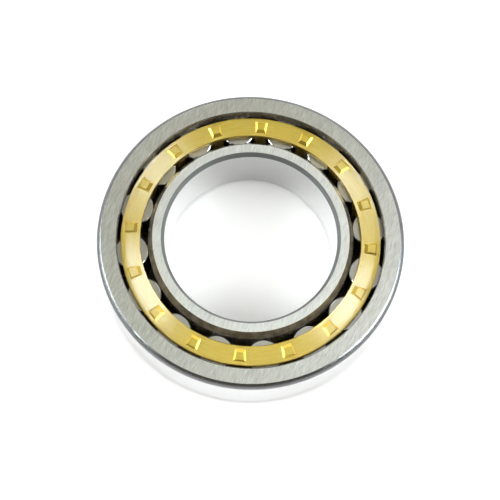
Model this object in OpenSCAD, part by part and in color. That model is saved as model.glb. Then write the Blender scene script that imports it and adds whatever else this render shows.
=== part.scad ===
// Single-row cylindrical roller bearing: an outer ring with two integral
// flanges, a plain inner ring that can slide out, a row of cylindrical rollers
// and a riveted two-piece brass cage. Millimetres, origin at the bearing's
// centre, +Z along its axis of rotation.

/* [Boundary sizes] */
// Bore diameter of the inner ring
bore_d = 90; // [80:0.5:120]
// Width of both rings
ring_w = 40; // [37:0.5:46]

/* [Rings] */
// Thickness of the inner ring, from its bore to its raceway
inner_wall = 8.5; // [7:0.1:11]
// Thickness of the outer ring, from its raceway to its outside
outer_wall = 8.5; // [7:0.1:12]
// Height of the outer ring's flanges above its raceway
flange_h = 1.9; // [1.4:0.1:2.5]
// Radial size of the rounded corners at the outside of the outer ring
outside_corner = 2.4; // [1:0.1:2.8]
// Radius of the arc of those corners, which meets the face at an edge
outside_corner_arc = 4.2; // [2.8:0.1:5]
// Radial size of the chamfers at the ends of the bore
bore_chamfer_r = 1.6; // [0.8:0.1:2]
// Axial length of the chamfers at the ends of the bore
bore_chamfer_z = 2.8; // [1:0.1:3.5]
// Radial drop of the lead-in taper at each end of the inner raceway
lead_in_drop = 2.4; // [1:0.1:2.6]
// Axial length of the lead-in taper
lead_in_len = 4.6; // [2:0.1:4.8]
// Small chamfer at the edges of the flanges
flange_edge = 0.4; // [0.1:0.1:0.8]
// Radius of the relief groove between raceway and flange
relief_r = 0.5; // [0.3:0.1:0.8]

/* [Rollers] */
// Number of rollers, and of the cage's crosspieces between them
roller_count = 16; // [12:1:16]
// Nominal diameter of a roller
roller_d = 18; // [16.5:0.1:19]
// Length of a roller
roller_len = 26; // [22:0.5:27]
// Radius of the rounded edge at a roller's ends
roller_edge = 0.8; // [0.3:0.1:1.5]
// Radial clearance between a roller and each raceway
raceway_play = 0.02; // [0.01:0.01:0.05]
// Axial clearance between a roller's end and each flange
flange_play = 0.05; // [0.02:0.01:0.15]

/* [Cage] */
// How far the cage reaches inward of the pitch circle
cage_reach_in = 5; // [4:0.1:5.4]
// How far the cage reaches outward of the pitch circle
cage_reach_out = 5.2; // [4:0.1:6]
// Thickness of the solid ring that carries the crosspieces
base_ring_t = 3.2; // [2.4:0.1:4]
// Thickness of the loose ring that is riveted on
cover_ring_t = 3.2; // [2.4:0.1:4]
// Radial clearance between a roller and its pocket
pocket_play = 0.2; // [0.1:0.05:0.3]
// Axial clearance between a roller's end and each cage ring
pocket_end_play = 0.2; // [0.1:0.05:0.4]
// How much narrower than a roller the pocket's inner mouth is
mouth_catch = 1.1; // [0.6:0.1:1.6]
// Chamfer at the outer edges of the cage rings
cage_edge = 0.2; // [0.1:0.1:0.8]

/* [Rivets] */
// Radial width of the tenon at the end of each crosspiece
tenon_depth = 4.8; // [4:0.1:5.4]
// How much wider a tenon is at its outer side than at its inner side
tenon_flare = 1.2; // [0:0.1:1.4]
// Land left on the crosspiece at each side of its tenon
tenon_land = 0.6; // [0.3:0.1:0.8]
// Clearance around a tenon in its hole
tenon_play = 0.05; // [0.03:0.01:0.1]
// How far a peened head laps over the cage's face inward and outward of its tenon
head_lap = 0.8; // [0.5:0.1:1]
// How far it laps over the cage's face at each side of its tenon
head_side_lap = 0.6; // [0.3:0.1:1]
// Run of the slope from a head's base to its flat top, at its inner side
head_run_in = 1.8; // [0.6:0.1:2]
// Run of the slope at its outer side
head_run_out = 0.7; // [0.4:0.1:1.2]
// Run of the slopes at its two other sides
head_run_side = 1; // [0.5:0.1:1.2]
// Height of a head above the cage's face
head_h = 0.75; // [0.6:0.05:1.4]

/* [Hidden] */
// Smoothness of the turned rings and of the small round features
ring_fn = 180;
roller_fn = 72;
// How far a cut runs past the face that it opens
cut_over = 1;

// Radii that follow from the driving sizes, from the bore outwards
bore_r = bore_d / 2;
inner_raceway_r = bore_r + inner_wall;
pitch_r = inner_raceway_r + roller_d / 2;
outer_raceway_r = inner_raceway_r + roller_d;
outside_r = outer_raceway_r + outer_wall;
roller_r = roller_d / 2 - raceway_play;
flange_r = outer_raceway_r - flange_h;
cage_in_r = pitch_r - cage_reach_in;
cage_out_r = pitch_r + cage_reach_out;
pocket_r = roller_r + pocket_play;
mouth_w = roller_d - mouth_catch;

// Heights above the bearing's middle plane
face_z = ring_w / 2;
roller_end_z = roller_len / 2;
flange_z = roller_end_z + flange_play;
shoulder_z = roller_end_z + pocket_end_play;
cover_z = shoulder_z + cover_ring_t;
base_z = shoulder_z + base_ring_t;

// Angle between neighbouring rollers, half of which lies between a roller and
// the crosspiece beside it
roller_step = 360 / roller_count;

// Width of a crosspiece where it is thinnest, and of the middle of its tenon
crosspiece_w = 2 * pitch_r * sin(roller_step / 2) - 2 * pocket_r;
tenon_w = crosspiece_w - 2 * tenon_land;

function roller_name(i) = str("roller_", i < 10 ? "0" : "", i);
ROLLERS = [for (i = [1 : roller_count]) roller_name(i)];

// Copies its children once for each crosspiece of the cage
module at_crosspieces() {
    for (i = [0 : roller_count - 1])
        rotate([0, 0, i * roller_step]) translate([pitch_r, 0, 0]) children();
}

// Height over which an arc of radius r, upright where it starts, leans in by w
function corner_rise(w, r) = sqrt(w * (2 * r - w));

// Rounds a corner off a profile with an arc of radius r that takes w off the
// level side: the corner lies at the origin and the material towards (dx, dy)
module corner_cut(w, r, dx, dy) {
    rise = corner_rise(w, r);
    difference() {
        translate([dx > 0 ? -cut_over : -w, dy > 0 ? -cut_over : -rise])
            square([w + cut_over, rise + cut_over]);
        translate([dx * r, dy * rise]) circle(r = r, $fn = roller_fn);
    }
}

// Half section of the outer ring, from the middle of the raceway outwards
module outer_ring_profile() {
    difference() {
        polygon([
            [outside_r, -face_z], [outside_r, face_z],
            [flange_r + flange_edge, face_z], [flange_r, face_z - flange_edge],
            [flange_r, flange_z + flange_edge], [flange_r + flange_edge, flange_z],
            [outer_raceway_r, flange_z], [outer_raceway_r, -flange_z],
            [flange_r + flange_edge, -flange_z], [flange_r, -flange_z - flange_edge],
            [flange_r, -face_z + flange_edge], [flange_r + flange_edge, -face_z]
        ]);
        for (end = [-1, 1]) {
            translate([outside_r, end * face_z])
                corner_cut(outside_corner, outside_corner_arc, -1, -end);
            translate([outer_raceway_r, end * flange_z])
                circle(r = relief_r, $fn = roller_fn);
        }
    }
}

// Outer ring: raceway between two integral flanges
module outer_ring() {
    color([0.70, 0.71, 0.68])
        rotate_extrude($fn = ring_fn) outer_ring_profile();
}

// Inner ring: a plain raceway right across, with a lead-in taper at each end
module inner_ring() {
    color([0.80, 0.81, 0.79])
        rotate_extrude($fn = ring_fn)
            polygon([
                [bore_r, bore_chamfer_z - face_z],
                [bore_r + bore_chamfer_r, -face_z],
                [inner_raceway_r - lead_in_drop, -face_z],
                [inner_raceway_r, lead_in_len - face_z],
                [inner_raceway_r, face_z - lead_in_len],
                [inner_raceway_r - lead_in_drop, face_z],
                [bore_r + bore_chamfer_r, face_z],
                [bore_r, face_z - bore_chamfer_z]
            ]);
}

// One roller about the Z axis, with rounded edges at both ends
module roller() {
    color([0.66, 0.67, 0.66])
        rotate_extrude($fn = roller_fn)
            difference() {
                translate([0, -roller_end_z]) square([roller_r, roller_len]);
                for (end = [-1, 1])
                    translate([roller_r, end * roller_end_z])
                        corner_cut(roller_edge, roller_edge, -1, -end);
            }
}

// Roller number i, in its place midway between two crosspieces
module placed_roller(i) {
    rotate([0, 0, (i - 0.5) * roller_step]) translate([pitch_r, 0, 0]) roller();
}

// Space for one roller: a bored pocket with a straight, narrower mouth inward
module pocket() {
    depth = 2 * shoulder_z + cut_over;
    translate([0, 0, -shoulder_z]) {
        cylinder(r = pocket_r, h = depth, $fn = roller_fn);
        translate([-cage_reach_in - cut_over, -mouth_w / 2, 0])
            cube([cage_reach_in + cut_over, mouth_w, depth]);
    }
}

// Half of a tenon's width at x outward from the pitch circle
function tenon_half_w(x) = (tenon_w + x * tenon_flare / tenon_depth) / 2;

// Corners of a tenon's outline from x = a to x = b, with its sides out by grow
function tenon_outline(a, b, grow) = [
    [a, -tenon_half_w(a) - grow], [b, -tenon_half_w(b) - grow],
    [b, tenon_half_w(b) + grow], [a, tenon_half_w(a) + grow]
];

// Prism of a tenon's outline, grown all round, from height z up by h
module tenon_post(grow, z, h) {
    reach = tenon_depth / 2 + grow;
    translate([0, 0, z]) linear_extrude(h) polygon(tenon_outline(-reach, reach, grow));
}

// Bar along Y whose ends slope to a head's flat top at its inner and outer sides
module head_bar(length) {
    reach = tenon_depth / 2 + head_lap;
    rotate([90, 0, 0])
        linear_extrude(length, center = true)
            polygon([[-reach, 0], [reach, 0], [reach - head_run_out, head_h],
                     [head_run_in - reach, head_h]]);
}

// Block that ends in the slope at a head's side, which follows the tenon's flare
module head_side(length) {
    turn = atan(tenon_flare / tenon_depth / 2);
    translate([0, tenon_half_w(0) + head_side_lap, 0]) rotate([90, 0, 90 + turn])
        linear_extrude(length, center = true)
            polygon([[-length, 0], [0, 0], [-head_run_side * cos(turn), head_h],
                     [-length, head_h]]);
}

// Peened head on z = 0: its four sides slope to a flat top
module peened_head() {
    length = 2 * tenon_depth + 4 * head_lap;
    intersection() {
        head_bar(length);
        head_side(length);
        mirror([0, 1, 0]) head_side(length);
    }
}

// Tenon that passes through the cover, with the head peened over it
module tenon() {
    root_z = shoulder_z - cover_ring_t / 2;
    tenon_post(0, root_z, cover_z - root_z);
    translate([0, 0, cover_z]) peened_head();
}

// Cage body: a solid ring and its crosspieces in one piece, with their rivets
module cage_body() {
    color([0.80, 0.65, 0.31]) {
        difference() {
            rotate_extrude($fn = ring_fn)
                polygon([
                    [cage_in_r + cage_edge, -base_z], [cage_out_r - cage_edge, -base_z],
                    [cage_out_r, -base_z + cage_edge], [cage_out_r, shoulder_z],
                    [cage_in_r, shoulder_z], [cage_in_r, -base_z + cage_edge]
                ]);
            rotate([0, 0, roller_step / 2]) at_crosspieces() pocket();
        }
        at_crosspieces() tenon();
    }
}

// Cage cover: the loose ring that the crosspieces are riveted through
module cage_cover() {
    color([0.84, 0.70, 0.36])
        difference() {
            rotate_extrude($fn = ring_fn)
                polygon([
                    [cage_in_r, shoulder_z], [cage_out_r, shoulder_z],
                    [cage_out_r, cover_z - cage_edge], [cage_out_r - cage_edge, cover_z],
                    [cage_in_r + cage_edge, cover_z], [cage_in_r, cover_z - cage_edge]
                ]);
            at_crosspieces()
                tenon_post(tenon_play, shoulder_z - cut_over, cover_ring_t + 2 * cut_over);
        }
}

outer_ring();
inner_ring();
cage_body();
cage_cover();
for (i = [1 : roller_count])
    placed_roller(i);
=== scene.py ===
"""Looks for a cylindrical roller bearing: two steel rings, a riveted brass cage, sixteen rollers.

Lengths are in metres, or in millimetres where a name ends in _MM or a comment says so. The frame
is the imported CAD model: the bearing's axis is Z, its centre is the origin, and it stands on its
lower faces. Compass directions run from X towards Y, and the camera stands at 270 degrees.
"""

import math

import bpy
from mathutils import Matrix, Vector


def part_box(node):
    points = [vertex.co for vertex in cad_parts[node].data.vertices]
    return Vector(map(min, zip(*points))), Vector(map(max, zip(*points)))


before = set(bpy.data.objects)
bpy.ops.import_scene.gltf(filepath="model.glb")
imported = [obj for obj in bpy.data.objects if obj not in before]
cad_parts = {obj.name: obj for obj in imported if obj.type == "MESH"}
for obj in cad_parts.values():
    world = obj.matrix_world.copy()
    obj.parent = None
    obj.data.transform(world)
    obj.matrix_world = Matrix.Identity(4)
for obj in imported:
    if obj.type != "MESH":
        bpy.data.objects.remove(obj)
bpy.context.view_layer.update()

# ---------------------------------------------------------------- measures from the CAD

MM = 0.001
OUTER_LOW, OUTER_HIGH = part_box("outer_ring")
_, COVER_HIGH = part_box("cage_cover")
FLOOR_Z = OUTER_LOW.z
FACE_Z = OUTER_HIGH.z
OUTSIDE_R = OUTER_HIGH.x
BORE_R = 0.045
FACE_Z_MM = FACE_Z / MM
COVER_Z_MM = COVER_HIGH.z / MM
OUTSIDE_R_MM = OUTSIDE_R / MM
BORE_R_MM = BORE_R / MM

# ---------------------------------------------------------------- camera

CAMERA_ELEVATION = math.radians(72.42)
CAMERA_ROLL = math.radians(4.23)
CAMERA_TURN = math.radians(1.05)
CAMERA_LENS_MM = 85.6
SENSOR_WIDTH_MM = 36
CAMERA_BACK = 0.1928
CAMERA_ABOVE_FACE = 0.5842
CAMERA_CLIPS = (0.01, 20)


def make_camera():
    """The camera stands in front of the bearing and looks steeply down, rolled a little."""
    lean, roll = CAMERA_ELEVATION, CAMERA_ROLL
    right = Vector((1, 0, 0))
    up = Vector((0, math.sin(lean), math.cos(lean)))
    back = Vector((0, -math.cos(lean), math.sin(lean)))
    across = right * math.cos(roll) + up * math.sin(roll)
    upward = up * math.cos(roll) - right * math.sin(roll)
    turn = Matrix.Rotation(CAMERA_TURN, 4, "Z")
    aim = Matrix((across, upward, back)).transposed().to_4x4()
    place = Matrix.Translation((0, -CAMERA_BACK, FACE_Z + CAMERA_ABOVE_FACE))
    camera = bpy.data.objects.new("camera", bpy.data.cameras.new("camera"))
    bpy.context.scene.collection.objects.link(camera)
    camera.matrix_world = turn @ place @ aim
    camera.data.sensor_width = SENSOR_WIDTH_MM
    camera.data.lens = CAMERA_LENS_MM
    camera.data.clip_start, camera.data.clip_end = CAMERA_CLIPS
    bpy.context.scene.camera = camera


# ---------------------------------------------------------------- node building


class Graph:
    """Adds nodes to a tree. Sockets and plain numbers are taken alike as inputs."""

    def __init__(self, tree):
        self.tree = tree
        tree.nodes.clear()

    def node(self, kind, **settings):
        made = self.tree.nodes.new(kind)
        for key, value in settings.items():
            setattr(made, key, value)
        return made

    def feed(self, socket, value):
        """Links or sets an input. A colour's alpha is dropped where a vector is wanted."""
        if isinstance(value, bpy.types.NodeSocket):
            self.tree.links.new(value, socket)
        elif socket.type == "VECTOR":
            socket.default_value = value[:3]
        else:
            socket.default_value = value

    def math(self, operation, *values):
        made = self.node("ShaderNodeMath", operation=operation)
        for socket, value in zip(made.inputs, values):
            self.feed(socket, value)
        return made.outputs[0]

    def vector(self, x, y, z):
        made = self.node("ShaderNodeCombineXYZ")
        for socket, value in zip(made.inputs, (x, y, z)):
            self.feed(socket, value)
        return made.outputs[0]

    def split(self, vector):
        made = self.node("ShaderNodeSeparateXYZ")
        self.feed(made.inputs[0], vector)
        return made.outputs

    def unit(self, vector):
        """A vector's direction, with length 1."""
        made = self.node("ShaderNodeVectorMath", operation="NORMALIZE")
        self.feed(made.inputs[0], vector)
        return made.outputs[0]

    def step(self, value, low, high):
        """0 below low and 1 above high, smooth between; low may be above high."""
        if low > high:
            return self.math("SUBTRACT", 1.0, self.step(value, high, low))
        made = self.node("ShaderNodeMapRange", interpolation_type="SMOOTHSTEP")
        self.feed(made.inputs["Value"], value)
        made.inputs["From Min"].default_value = low
        made.inputs["From Max"].default_value = high
        return made.outputs[0]

    def between(self, value, low, high, soft):
        """1 from low to high, falling to 0 over soft on both sides."""
        rise = self.step(value, low - soft / 2, low + soft / 2)
        fall = self.step(value, high + soft / 2, high - soft / 2)
        return self.math("MULTIPLY", rise, fall)

    def noise(self, vector, scale, detail=2.0, roughness=0.5):
        """A noise from 0 to 1 about 0.5."""
        made = self.node("ShaderNodeTexNoise")
        self.feed(made.inputs["Vector"], vector)
        made.inputs["Scale"].default_value = scale
        made.inputs["Detail"].default_value = detail
        made.inputs["Roughness"].default_value = roughness
        return made.outputs[0]

    def mix(self, factor, first, second):
        """Colours or sockets mixed by a factor."""
        made = self.node("ShaderNodeMix", data_type="RGBA")
        self.feed(made.inputs[0], factor)
        for socket, value in zip((made.inputs[6], made.inputs[7]), (first, second)):
            self.feed(socket, value)
        return made.outputs[2]

    def blend(self, factor, first, second):
        """Numbers mixed by a factor."""
        made = self.node("ShaderNodeMix", data_type="FLOAT")
        self.feed(made.inputs[0], factor)
        self.feed(made.inputs[2], first)
        self.feed(made.inputs[3], second)
        return made.outputs[0]

    def scale(self, vector, factor):
        """A vector made longer or shorter, or a colour made lighter or darker, by a factor."""
        made = self.node("ShaderNodeVectorMath", operation="SCALE")
        self.feed(made.inputs[0], vector)
        self.feed(made.inputs[3], factor)
        return made.outputs[0]

    def bump(self, height, distance, strength):
        """The surface's normal, tipped by marks of a height from 0 to 1 times a distance."""
        made = self.node("ShaderNodeBump")
        made.inputs["Distance"].default_value = distance
        made.inputs["Strength"].default_value = strength
        self.feed(made.inputs["Height"], height)
        return made.outputs[0]


def grey(level):
    return (level, level, level, 1)


def distance(g, x, y):
    """How far a point in the plane is from the origin."""
    return g.math("SQRT", g.math("ADD", g.math("POWER", x, 2), g.math("POWER", y, 2)))


def polar(g, x, y):
    """The radius and the compass angle, in radians, of a point in the plane."""
    return distance(g, x, y), g.math("ARCTAN2", y, x)


def toward(g, x, y, compass, factor=1.0):
    """How far a point lies in a compass direction, in degrees, times a factor."""
    angle = math.radians(compass)
    part_x = g.math("MULTIPLY", x, factor * math.cos(angle))
    part_y = g.math("MULTIPLY", y, factor * math.sin(angle))
    return g.math("ADD", part_x, part_y)


# ---------------------------------------------------------------- studio

WHITE = grey(1.0)
ROOM_TONE = (0.37, 0.357, 0.25, 1)
FRONT_TONE = (0.18, 0.16, 0.13, 1)
SIDE_TONE = (0.62, 0.63, 0.64, 1)
CEILING_TONE = (1.20, 1.21, 1.20, 1)
SOFTBOX_TONE = (28, 31, 32, 1)
SOFTBOX_ON_PAPER = (6, 6.1, 6.2, 1)
STRIP_TONE = (1.6, 1.6, 1.58, 1)

# Wall panels in degrees: compass centre, half width, soft edge; then lowest, highest, soft edge.
REAR_AND_SIDES = ((90, 96, 24), (-90, 42, 14))
FRONT = ((270, 46, 16), (5, 67, 8))
REAR = ((90, 40, 30), (-90, 50, 10))
LEFT_STRIP = ((180, 28, 10), (9, 31, 6))
RIGHT_STRIP = ((0, 28, 10), (9, 31, 6))
BELOW_HORIZON = (-90, 2, 3)

# Ceiling panels at unit height: turn in degrees, ends of the length, ends of the width, soft edge.
CEILING_MIDDLE = (0, (-0.03, 0.36), (0.09, 0.42), 0.05)
LEFT_SOFTBOX = (-40, (-1.75, -0.31), (-1.18, -0.62), 0.25)
RIGHT_SOFTBOX = (40, (0.33, 1.95), (-1.18, -0.58), 0.25)
CEILING_STARTS = (0.10, 0.20)
LEAST_STEEP = 0.05
LEAST_ACROSS = 1e-4


def compass_band(g, direction, centre, half, soft):
    """1 where a direction's compass angle lies within half of centre, in degrees."""
    x, y, _ = g.split(direction)
    across = g.math("MAXIMUM", distance(g, x, y), LEAST_ACROSS)
    cosine = g.math("DIVIDE", toward(g, x, y, centre), across)
    low = math.cos(math.radians(half + soft / 2))
    high = math.cos(math.radians(half - soft / 2))
    return g.step(cosine, low, high)


def height_band(g, direction, low, high, soft):
    """1 where a direction's height above the horizon is from low to high, in degrees."""
    angle = g.math("MULTIPLY", g.math("ARCSINE", g.split(direction)[2]), 180 / math.pi)
    return g.between(angle, low, high, soft)


def ceiling_patch(g, direction, turn, length, width, soft):
    """1 inside a rectangle of the ceiling at unit height, its length turned from X by degrees."""
    x, y, z = g.split(direction)
    steep = g.math("MAXIMUM", z, LEAST_STEEP)
    x, y = g.math("DIVIDE", x, steep), g.math("DIVIDE", y, steep)
    in_length = g.between(toward(g, x, y, turn), *length, soft)
    in_width = g.between(toward(g, x, y, turn + 90), *width, soft)
    upward = g.step(z, *CEILING_STARTS)
    return g.math("MULTIPLY", g.math("MULTIPLY", in_length, in_width), upward)


def make_studio():
    """A white surround for the camera; the metal and the floor see a room with lit panels."""
    world = bpy.data.worlds.new("studio")
    bpy.context.scene.world = world
    world.use_nodes = True
    world.cycles.sampling_method = "NONE"
    g = Graph(world.node_tree)
    direction = g.unit(g.node("ShaderNodeTexCoord").outputs["Generated"])
    ray = g.node("ShaderNodeLightPath").outputs

    def wall_panel(under, tone, compass, height):
        in_compass = compass_band(g, direction, *compass)
        in_height = height_band(g, direction, *height)
        return g.mix(g.math("MULTIPLY", in_compass, in_height), under, tone)

    def ceiling_panel(under, tone, patch):
        return g.mix(ceiling_patch(g, direction, *patch), under, tone)

    room = wall_panel(ROOM_TONE, SIDE_TONE, *REAR_AND_SIDES)
    room = wall_panel(room, FRONT_TONE, *FRONT)
    room = wall_panel(room, WHITE, *REAR)
    room = ceiling_panel(room, CEILING_TONE, CEILING_MIDDLE)
    softbox = g.mix(ray["Is Diffuse Ray"], SOFTBOX_TONE, SOFTBOX_ON_PAPER)
    room = ceiling_panel(room, softbox, LEFT_SOFTBOX)
    room = ceiling_panel(room, softbox, RIGHT_SOFTBOX)
    room = wall_panel(room, STRIP_TONE, *LEFT_STRIP)
    room = wall_panel(room, STRIP_TONE, *RIGHT_STRIP)
    room = g.mix(height_band(g, direction, *BELOW_HORIZON), room, WHITE)

    background = g.node("ShaderNodeBackground")
    g.feed(background.inputs["Color"], g.mix(ray["Is Camera Ray"], room, WHITE))
    output = g.node("ShaderNodeOutputWorld")
    g.feed(output.inputs["Surface"], background.outputs[0])


# ---------------------------------------------------------------- floor

FLOOR_SIZE = 6.0
PAPER_TONE = (0.80, 0.80, 0.81, 1)
FIBRE_TONE = (0.82, 0.82, 0.825, 1)
FIBRES = (900, 3)

# The paper also glows. The shares below, from 0 to 2, are shares of this strength.
GLOW = 0.47

# It fades to 0 under the rings, over these widths: painted shade under the bearing.
FADE_UNDER_BORE = 0.002
FADE_UNDER_EDGE = 0.001

# In the metal all of it falls from 1 to this, between these radii: painted shade in the
# reflections of the paper away from the bearing.
REFLECTED_OUT_TO = (0.100, 0.155)
REFLECTED_PAINTED_SHADE = 0.10

# Down the bore it falls from 1 to this, between these radii of an ellipse drawn out along X: a
# painted shadow along the bore's near and far walls.
BORE_SPOT = (0.014, 0.052)
BORE_SPOT_BACK = 0.008
BORE_SPOT_SQUEEZE = 0.45
BORE_PAINTED_SHADOW = 0.48

# In the metal the glow down the bore doubles to the left and right, over these distances: painted
# light in the reflections.
BORE_SIDES = (0.010, 0.030)


def painted_bore_glow(g, x, y, radius, in_metal):
    """The paper's glow down the bore, with a painted shadow by the walls: 1 at its brightest for
    the camera and 2 in the metal.
    """
    squeezed = g.math("MULTIPLY", x, BORE_SPOT_SQUEEZE)
    spot = distance(g, squeezed, g.math("SUBTRACT", y, BORE_SPOT_BACK))
    glow = g.blend(g.step(spot, *BORE_SPOT), 1.0, BORE_PAINTED_SHADOW)
    glow = g.math("MULTIPLY", glow, g.step(radius, BORE_R + FADE_UNDER_BORE, BORE_R))
    sides = g.step(g.math("ABSOLUTE", x), *BORE_SIDES)
    painted_side_light = g.math("ADD", 1.0, g.math("MULTIPLY", in_metal, sides))
    return g.math("MULTIPLY", glow, painted_side_light)


def paper_glow(g, place):
    """How strongly the paper glows to the camera and in metal or glass. It lights nothing matt.
    Its strength holds painted shade under the bearing, down the bore and far off in the metal, and
    painted light to the sides in the metal.
    """
    x, y, _ = g.split(place)
    radius = distance(g, x, y)
    ray = g.node("ShaderNodeLightPath").outputs
    in_metal = ray["Is Glossy Ray"]
    near = g.blend(g.step(radius, *REFLECTED_OUT_TO), 1.0, REFLECTED_PAINTED_SHADE)
    shown = g.math("MAXIMUM", ray["Is Camera Ray"], g.math("MULTIPLY", in_metal, near))
    shown = g.math("MAXIMUM", shown, ray["Is Transmission Ray"])
    # The glow is left out under the bearing: painted shade.
    outside = g.step(radius, OUTSIDE_R - FADE_UNDER_EDGE, OUTSIDE_R)
    glow = g.math("ADD", painted_bore_glow(g, x, y, radius, in_metal), outside)
    return g.math("MULTIPLY", shown, g.math("MULTIPLY", glow, GLOW))


def make_floor():
    """White paper: it keeps the shadow, and reads as white to the camera and in the metal. Its
    glow holds painted shade under the bearing and down the bore.
    """
    mesh = bpy.data.meshes.new("floor")
    half = FLOOR_SIZE / 2
    corners = [(-half, -half), (half, -half), (half, half), (-half, half)]
    mesh.from_pydata([(x, y, FLOOR_Z) for x, y in corners], [], [(0, 1, 2, 3)])
    floor = bpy.data.objects.new("floor", mesh)
    bpy.context.scene.collection.objects.link(floor)

    material = bpy.data.materials.new("floor_paper")
    material.use_nodes = True
    material.cycles.emission_sampling = "NONE"
    g = Graph(material.node_tree)
    place = g.node("ShaderNodeTexCoord").outputs["Object"]
    paper = g.node("ShaderNodeBsdfDiffuse")
    g.feed(paper.inputs["Color"], g.mix(g.noise(place, *FIBRES), PAPER_TONE, FIBRE_TONE))
    glow = g.node("ShaderNodeEmission")
    g.feed(glow.inputs["Strength"], paper_glow(g, place))
    both = g.node("ShaderNodeAddShader")
    g.feed(both.inputs[0], paper.outputs[0])
    g.feed(both.inputs[1], glow.outputs[0])
    output = g.node("ShaderNodeOutputMaterial")
    g.feed(output.inputs["Surface"], both.outputs[0])
    mesh.materials.append(material)


# ---------------------------------------------------------------- metals

# The levelness at which a steel piece's flat ends start.
FLAT_END_STARTS = (0.97, 0.995)
MARK_DEPTH = 0.00002
LINE_NOISE = (1.0, 3, 0.65)


def metal(name):
    """A metal's material, its graph and its shader, ready for colour and roughness."""
    material = bpy.data.materials.new(name)
    material.use_nodes = True
    g = Graph(material.node_tree)
    shader = g.node("ShaderNodeBsdfPrincipled")
    shader.inputs["Metallic"].default_value = 1.0
    output = g.node("ShaderNodeOutputMaterial")
    g.feed(output.inputs["Surface"], shader.outputs[0])
    return material, g, shader


def place_mm(g):
    """The point in mm in the part's own frame, its radius, compass angle and height."""
    place = g.scale(g.node("ShaderNodeTexCoord").outputs["Object"], 1 / MM)
    x, y, z = g.split(place)
    return place, *polar(g, x, y), z


def levelness(g):
    """1 where a surface is level, 0 where it is upright."""
    normal = g.node("ShaderNodeNewGeometry").outputs["Normal"]
    return g.math("ABSOLUTE", g.split(normal)[2])


def turned_lines(g, along, angle, fineness, wander=1.5):
    """Lines that run round the axis. They are fine along a coordinate and wander a little."""
    x = g.math("MULTIPLY", g.math("COSINE", angle), wander)
    y = g.math("MULTIPLY", g.math("SINE", angle), wander)
    return g.noise(g.vector(x, y, g.math("MULTIPLY", along, fineness)), *LINE_NOISE)


def centred(g, value, amount):
    """A noise turned into a factor about 1."""
    return g.math("MULTIPLY_ADD", value, 2 * amount, 1 - amount)


# ---------------------------------------------------------------- the rings

# Grinding marks: compass direction, how many to a mm across it and along it, and their share.
GRINDING = ((82, 1.6, 0.14, 0.42), (60, 1.5, 0.16, 0.38))
GRAIN_SHARE = 0.20

# The marks spread the gloss across this direction, which lies between theirs.
STREAK_COMPASS = 72
RING_BUMP = 0.6
TURNED_PER_MM = 9.0
TURNED_TONE = 0.08
TURNED_GLOSS = 0.3
CLOUD_TONE = 0.05

# Noises: how many to a mm, detail, and roughness where it isn't the usual one.
STREAK_NOISE = (1.0, 1.5, 0.5)
GRAINS = (1.5, 2, 0.6)
CLOUDS = (0.09, 2)
OIL_POOLS = (0.22, 3, 0.6)
OIL_POOL_EDGE = (0.35, 0.65)

WALL_TONE = (0.72, 0.725, 0.73, 1)
WALL_ROUGHNESS = 0.16
# The bore is darker than the walls: painted shade down the hole.
BORE_PAINTED_SHADE_TONE = (0.50, 0.50, 0.495, 1)
BORE_ROUGHNESS = 0.24
CHAMFER_TONE = (0.21, 0.215, 0.213, 1)
CORNER_TONE = (0.27, 0.275, 0.29, 1)
# Oil where the rollers run, its tone darkened as painted shade between the parts; the pools vary
# it at random.
OILED_AND_SHADED_TONE = (0.31, 0.29, 0.275, 1)
OIL_POOL_AND_SHADE_TONE = (0.18, 0.165, 0.155, 1)
OILED_METALLIC = 0.6
OILED_ROUGHNESS = 0.24

# Radii and heights in mm between which one kind of steel goes over into the next.
BORE_ENDS = (48, 47)
OUTER_RACE_ENDS = (74, 73)
INNER_RACE_STARTS = (50, 51)
CORNER_RADII = (OUTSIDE_R_MM - 2.6, OUTSIDE_R_MM - 2.5)
CORNER_HEIGHTS = (FACE_Z_MM - 4.4, FACE_Z_MM - 2.4)
FLANGE_EDGE_RADII = (70.1, 70.0)
FLANGE_EDGE_HEIGHTS = (FACE_Z_MM - 0.6, FACE_Z_MM - 0.5)
CHAMFER_RADII = (BORE_R_MM + 1.8, BORE_R_MM + 1.7)
CHAMFER_HEIGHTS = (FACE_Z_MM - 2.9, FACE_Z_MM - 2.7)


def edge(g, radius, height, radii, heights):
    """1 past both the second radius and the second height, and 0 before the first ones."""
    return g.math("MULTIPLY", g.step(radius, *radii), g.step(height, *heights))


def outer_edges(g, radius, height):
    """The rounded outside corners and the small chamfers of the flanges."""
    corner = edge(g, radius, height, CORNER_RADII, CORNER_HEIGHTS)
    flange = edge(g, radius, height, FLANGE_EDGE_RADII, FLANGE_EDGE_HEIGHTS)
    return g.math("MAXIMUM", corner, flange)


def inner_edges(g, radius, height):
    """The chamfers at the ends of the bore."""
    return edge(g, radius, height, CHAMFER_RADII, CHAMFER_HEIGHTS)


def straight_streaks(g, x, y, compass, across, along):
    """Straight streaks in one compass direction, in degrees, across the whole part.

    The direction is also the noise's third coordinate, so that no two sets are alike.
    """
    run = toward(g, x, y, compass, along)
    side = toward(g, x, y, compass + 90, across)
    return g.noise(g.vector(side, run, compass), *STREAK_NOISE)


def ground_streaks(g, place):
    """The crossing marks that grinding leaves on a ring's face."""
    x, y, _ = g.split(place)
    marks = g.math("MULTIPLY", g.noise(place, *GRAINS), GRAIN_SHARE)
    for *direction, share in GRINDING:
        marks = g.math("MULTIPLY_ADD", straight_streaks(g, x, y, *direction), share, marks)
    return marks


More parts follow.
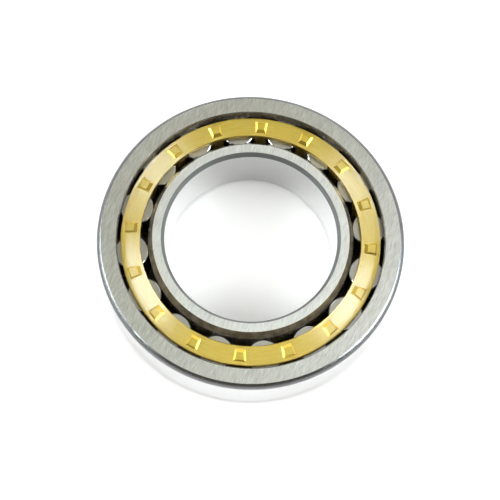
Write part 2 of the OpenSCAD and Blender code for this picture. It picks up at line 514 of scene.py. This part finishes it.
def steel_ring(name, face_tone, face_roughness, face_marks, spread, edge_tone, edge_roughness,
               edge_zone, race_radii):
    """Ring steel: ground faces, dark edges, bright walls, a bore darkened as painted shade, and
    oil where the rollers run, darkened further as painted shade.

    spread says how much the grinding marks spread the faces' gloss. edge_zone is the function
    that finds the edges. The oil starts at the first of race_radii and is full at the second.
    """
    material, g, shader = metal(name)
    place, radius, angle, z = place_mm(g)
    face = g.step(levelness(g), *FLAT_END_STARTS)
    not_face = g.math("SUBTRACT", 1.0, face)
    edges = edge_zone(g, radius, g.math("ABSOLUTE", z))
    bore = g.step(radius, *BORE_ENDS)
    oiled_and_shaded = g.math("MULTIPLY", g.step(radius, *race_radii), not_face)
    streaks = ground_streaks(g, place)
    lines = turned_lines(g, g.math("ADD", z, radius), angle, TURNED_PER_MM)
    pools = g.step(g.noise(place, *OIL_POOLS), *OIL_POOL_EDGE)
    clouds = g.noise(place, *CLOUDS)

    face_colour = g.scale(face_tone, centred(g, streaks, face_marks))
    face_colour = g.scale(face_colour, centred(g, clouds, CLOUD_TONE))
    # The bore is darker as painted shade.
    round_colour = g.mix(edges, g.mix(bore, WALL_TONE, BORE_PAINTED_SHADE_TONE), edge_tone)
    # Where the rollers run: oil, darkened as painted shade.
    round_colour = g.mix(oiled_and_shaded, round_colour, g.mix(pools, OILED_AND_SHADED_TONE, OIL_POOL_AND_SHADE_TONE))
    round_colour = g.scale(round_colour, centred(g, lines, TURNED_TONE))
    g.feed(shader.inputs["Base Color"], g.mix(face, round_colour, face_colour))
    g.feed(shader.inputs["Metallic"], g.blend(oiled_and_shaded, 1.0, OILED_METALLIC))

    roughness = g.blend(bore, WALL_ROUGHNESS, BORE_ROUGHNESS)
    roughness = g.blend(oiled_and_shaded, g.blend(edges, roughness, edge_roughness), OILED_ROUGHNESS)
    roughness = g.math("MULTIPLY", centred(g, lines, TURNED_GLOSS), roughness)
    g.feed(shader.inputs["Roughness"], g.blend(face, roughness, face_roughness))
    shader.inputs["Anisotropic"].default_value = spread
    tangent_x = g.math("MULTIPLY", face, math.sin(math.radians(STREAK_COMPASS)))
    tangent_y = g.math("MULTIPLY", face, -math.cos(math.radians(STREAK_COMPASS)))
    g.feed(shader.inputs["Tangent"], g.vector(tangent_x, tangent_y, not_face))
    marks = g.blend(face, lines, streaks)
    g.feed(shader.inputs["Normal"], g.bump(marks, MARK_DEPTH, RING_BUMP))
    return material


# ---------------------------------------------------------------- the rollers

ROLLER_END_TONE = (0.52, 0.515, 0.48, 1)
ROLLER_BEVEL_TONE = grey(0.48)
ROLLER_BEVEL_STARTS = (0.30, 0.70)
ROLLER_END_ROUGHNESS = 0.32
ROLLER_SIDE_ROUGHNESS = 0.14
ROLLER_MARK_TONE = 0.25
ROLLER_MARK_GLOSS = 0.3
ROLLER_BUMP = 0.5

# Across the roller's own box, which counts as 1 by 1 by 1: the lines' fineness and wander.
END_RINGS = (60, 0.4)
SIDE_LINES = (160, 0.8)
BOX_MIDDLE = 0.5


def roller_steel(name):
    """Roller steel: ends ground in rings about the roller's own axis, oiled sides darkened as
    painted shade.
    """
    material, g, shader = metal(name)
    x, y, z = g.split(g.node("ShaderNodeTexCoord").outputs["Generated"])
    x, y = g.math("SUBTRACT", x, BOX_MIDDLE), g.math("SUBTRACT", y, BOX_MIDDLE)
    radius, angle = polar(g, x, y)
    end = g.step(levelness(g), *FLAT_END_STARTS)
    bevel = g.step(levelness(g), *ROLLER_BEVEL_STARTS)
    rings = turned_lines(g, radius, angle, *END_RINGS)
    lines = turned_lines(g, z, angle, *SIDE_LINES)
    marks = g.blend(end, lines, rings)
    # The sides take the oil's tone, darkened as painted shade between the rings.
    tone = g.mix(end, g.mix(bevel, OILED_AND_SHADED_TONE, ROLLER_BEVEL_TONE), ROLLER_END_TONE)
    tone = g.scale(tone, centred(g, marks, ROLLER_MARK_TONE))
    g.feed(shader.inputs["Base Color"], tone)
    roughness = g.blend(end, ROLLER_SIDE_ROUGHNESS, ROLLER_END_ROUGHNESS)
    roughness = g.math("MULTIPLY", centred(g, marks, ROLLER_MARK_GLOSS), roughness)
    g.feed(shader.inputs["Roughness"], roughness)
    g.feed(shader.inputs["Normal"], g.bump(marks, MARK_DEPTH, ROLLER_BUMP))
    return material


# ---------------------------------------------------------------- the cage

BRASS_TONE = (0.68, 0.51, 0.08, 1)
BRASS_DEEP = (0.66, 0.45, 0.045, 1)
# Slopes and edges are lighter than the flat brass: a painted highlight.
BRASS_SLOPE_HIGHLIGHT = (1.00, 0.72, 0.13, 1)
# Brass inside the bearing: oil, darkened as painted shade.
BRASS_OILED_AND_SHADED = (0.50, 0.35, 0.09, 1)
FLAT_ROUGHNESS = 0.39
SLOPE_ROUGHNESS = 0.32
INNER_SLOPE_ROUGHNESS = 0.05
BRASS_BUMP = 0.8

# Between which levelness, height in mm and lean towards the axis each zone starts.
FLAT_STARTS = (0.985, 0.998)
TOP_STARTS = (COVER_Z_MM - 0.5, COVER_Z_MM - 0.3)
INNER_SLOPE_STARTS = (-0.15, -0.30)

# Turned lines: how many to a mm, and wander. The grain is a noise.
BRASS_LINES = (4.0, 2.5)
LINE_TONE = 0.13
MOTTLE = (1.2, 10.0)
MOTTLE_EDGE = (0.35, 0.70)
BRASS_GRAIN = (3.0, 3, 0.6)
GRAIN_TONE = 0.12
GRAIN_GLOSS = 0.2

# The clear film, and the fine marks that tip it by a slope this way and that.
FILM_IOR = 1.8
FILM_ROUGHNESS = 0.24
FILM_MARKS_PER_MM = 30.0
FILM_MARK_NOISE = (1.0, 1)
FILM_MARK_EDGE = (0.44, 0.56)
FILM_SLOPE = 0.50


def facing_axis(g, angle):
    """1 on slopes that face the bearing's axis, by the normal in the part's own frame."""
    x, y, _ = g.split(g.node("ShaderNodeTexCoord").outputs["Normal"])
    outward_x = g.math("MULTIPLY", x, g.math("COSINE", angle))
    outward_y = g.math("MULTIPLY", y, g.math("SINE", angle))
    return g.step(g.math("ADD", outward_x, outward_y), *INNER_SLOPE_STARTS)


def leaned(g, normal, angle, slope):
    """A normal tipped away from the bearing's axis, or towards it where the slope is below 0."""
    lean_x = g.math("MULTIPLY", g.math("COSINE", angle), slope)
    lean_y = g.math("MULTIPLY", g.math("SINE", angle), slope)
    lean = g.node("ShaderNodeVectorTransform", vector_type="VECTOR",
                  convert_from="OBJECT", convert_to="WORLD")
    g.feed(lean.inputs[0], g.vector(lean_x, lean_y, 0.0))
    added = g.node("ShaderNodeVectorMath", operation="ADD")
    g.feed(added.inputs[0], normal)
    g.feed(added.inputs[1], lean.outputs[0])
    return g.unit(added.outputs[0])


def brass(name, film, grain_depth):
    """Cage brass: bright under a clear film on top, oiled and darker inside the bearing as painted
    shade, with slopes and edges lighter as a painted highlight.

    Fine turned marks tip the film to and from the axis, so lamps stretch out along the radius.
    """
    material, g, shader = metal(name)
    place, radius, angle, z = place_mm(g)
    lines = turned_lines(g, g.math("ADD", radius, z), angle, *BRASS_LINES)
    mottle = g.step(turned_lines(g, radius, angle, *MOTTLE), *MOTTLE_EDGE)
    grain = g.noise(place, *BRASS_GRAIN)
    top = g.step(z, *TOP_STARTS)
    flat = g.step(levelness(g), *FLAT_STARTS)

    # Slopes and edges take a painted highlight.
    colour = g.mix(flat, BRASS_SLOPE_HIGHLIGHT, g.mix(mottle, BRASS_TONE, BRASS_DEEP))
    # Inside the bearing the brass is oiled and darker: painted shade.
    colour = g.mix(top, BRASS_OILED_AND_SHADED, colour)
    colour = g.scale(colour, centred(g, lines, LINE_TONE))
    colour = g.scale(colour, centred(g, grain, GRAIN_TONE))
    g.feed(shader.inputs["Base Color"], colour)
    g.feed(shader.inputs["Metallic"], g.blend(top, OILED_METALLIC, 1.0))
    roughness = g.blend(facing_axis(g, angle), SLOPE_ROUGHNESS, INNER_SLOPE_ROUGHNESS)
    roughness = g.blend(flat, roughness, FLAT_ROUGHNESS)
    roughness = g.math("MULTIPLY", centred(g, grain, GRAIN_GLOSS), roughness)
    g.feed(shader.inputs["Roughness"], roughness)
    height = g.math("MULTIPLY", flat, g.math("ADD", lines, grain))
    normal = g.bump(height, grain_depth, BRASS_BUMP)
    g.feed(shader.inputs["Normal"], normal)

    flat_top = g.math("MULTIPLY", flat, film)
    g.feed(shader.inputs["Coat Weight"], g.math("MULTIPLY", top, flat_top))
    shader.inputs["Coat IOR"].default_value = FILM_IOR
    shader.inputs["Coat Roughness"].default_value = FILM_ROUGHNESS
    fine = g.math("MULTIPLY", radius, FILM_MARKS_PER_MM)
    marks = g.noise(g.vector(0.0, 0.0, fine), *FILM_MARK_NOISE)
    marks = g.step(marks, *FILM_MARK_EDGE)
    slope = g.math("MULTIPLY_ADD", marks, 2 * FILM_SLOPE, -FILM_SLOPE)
    g.feed(shader.inputs["Coat Normal"], leaned(g, normal, angle, slope))
    return material


# ---------------------------------------------------------------- the whole


def dress():
    """Gives every CAD node its metal."""
    metals = {
        "outer_ring": steel_ring(
            "outer_ring_ground", face_tone=(0.575, 0.573, 0.54, 1), face_roughness=0.28,
            face_marks=0.80, spread=0.6, edge_tone=CORNER_TONE, edge_roughness=0.24,
            edge_zone=outer_edges, race_radii=OUTER_RACE_ENDS),
        "inner_ring": steel_ring(
            "inner_ring_ground", face_tone=(0.69, 0.69, 0.67, 1), face_roughness=0.38,
            face_marks=0.55, spread=0.2, edge_tone=CHAMFER_TONE, edge_roughness=0.45,
            edge_zone=inner_edges, race_radii=INNER_RACE_STARTS),
        "cage_cover": brass("brass_turned", film=1.0, grain_depth=0.00002),
        "cage_body": brass("brass_struck", film=0.40, grain_depth=0.00001),
    }
    roller = roller_steel("roller_ground")
    for name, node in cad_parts.items():
        for slot in node.material_slots:
            slot.material = metals.get(name, roller)


make_camera()
make_studio()
make_floor()
dress()

bpy.context.scene.view_settings.view_transform = "Standard"
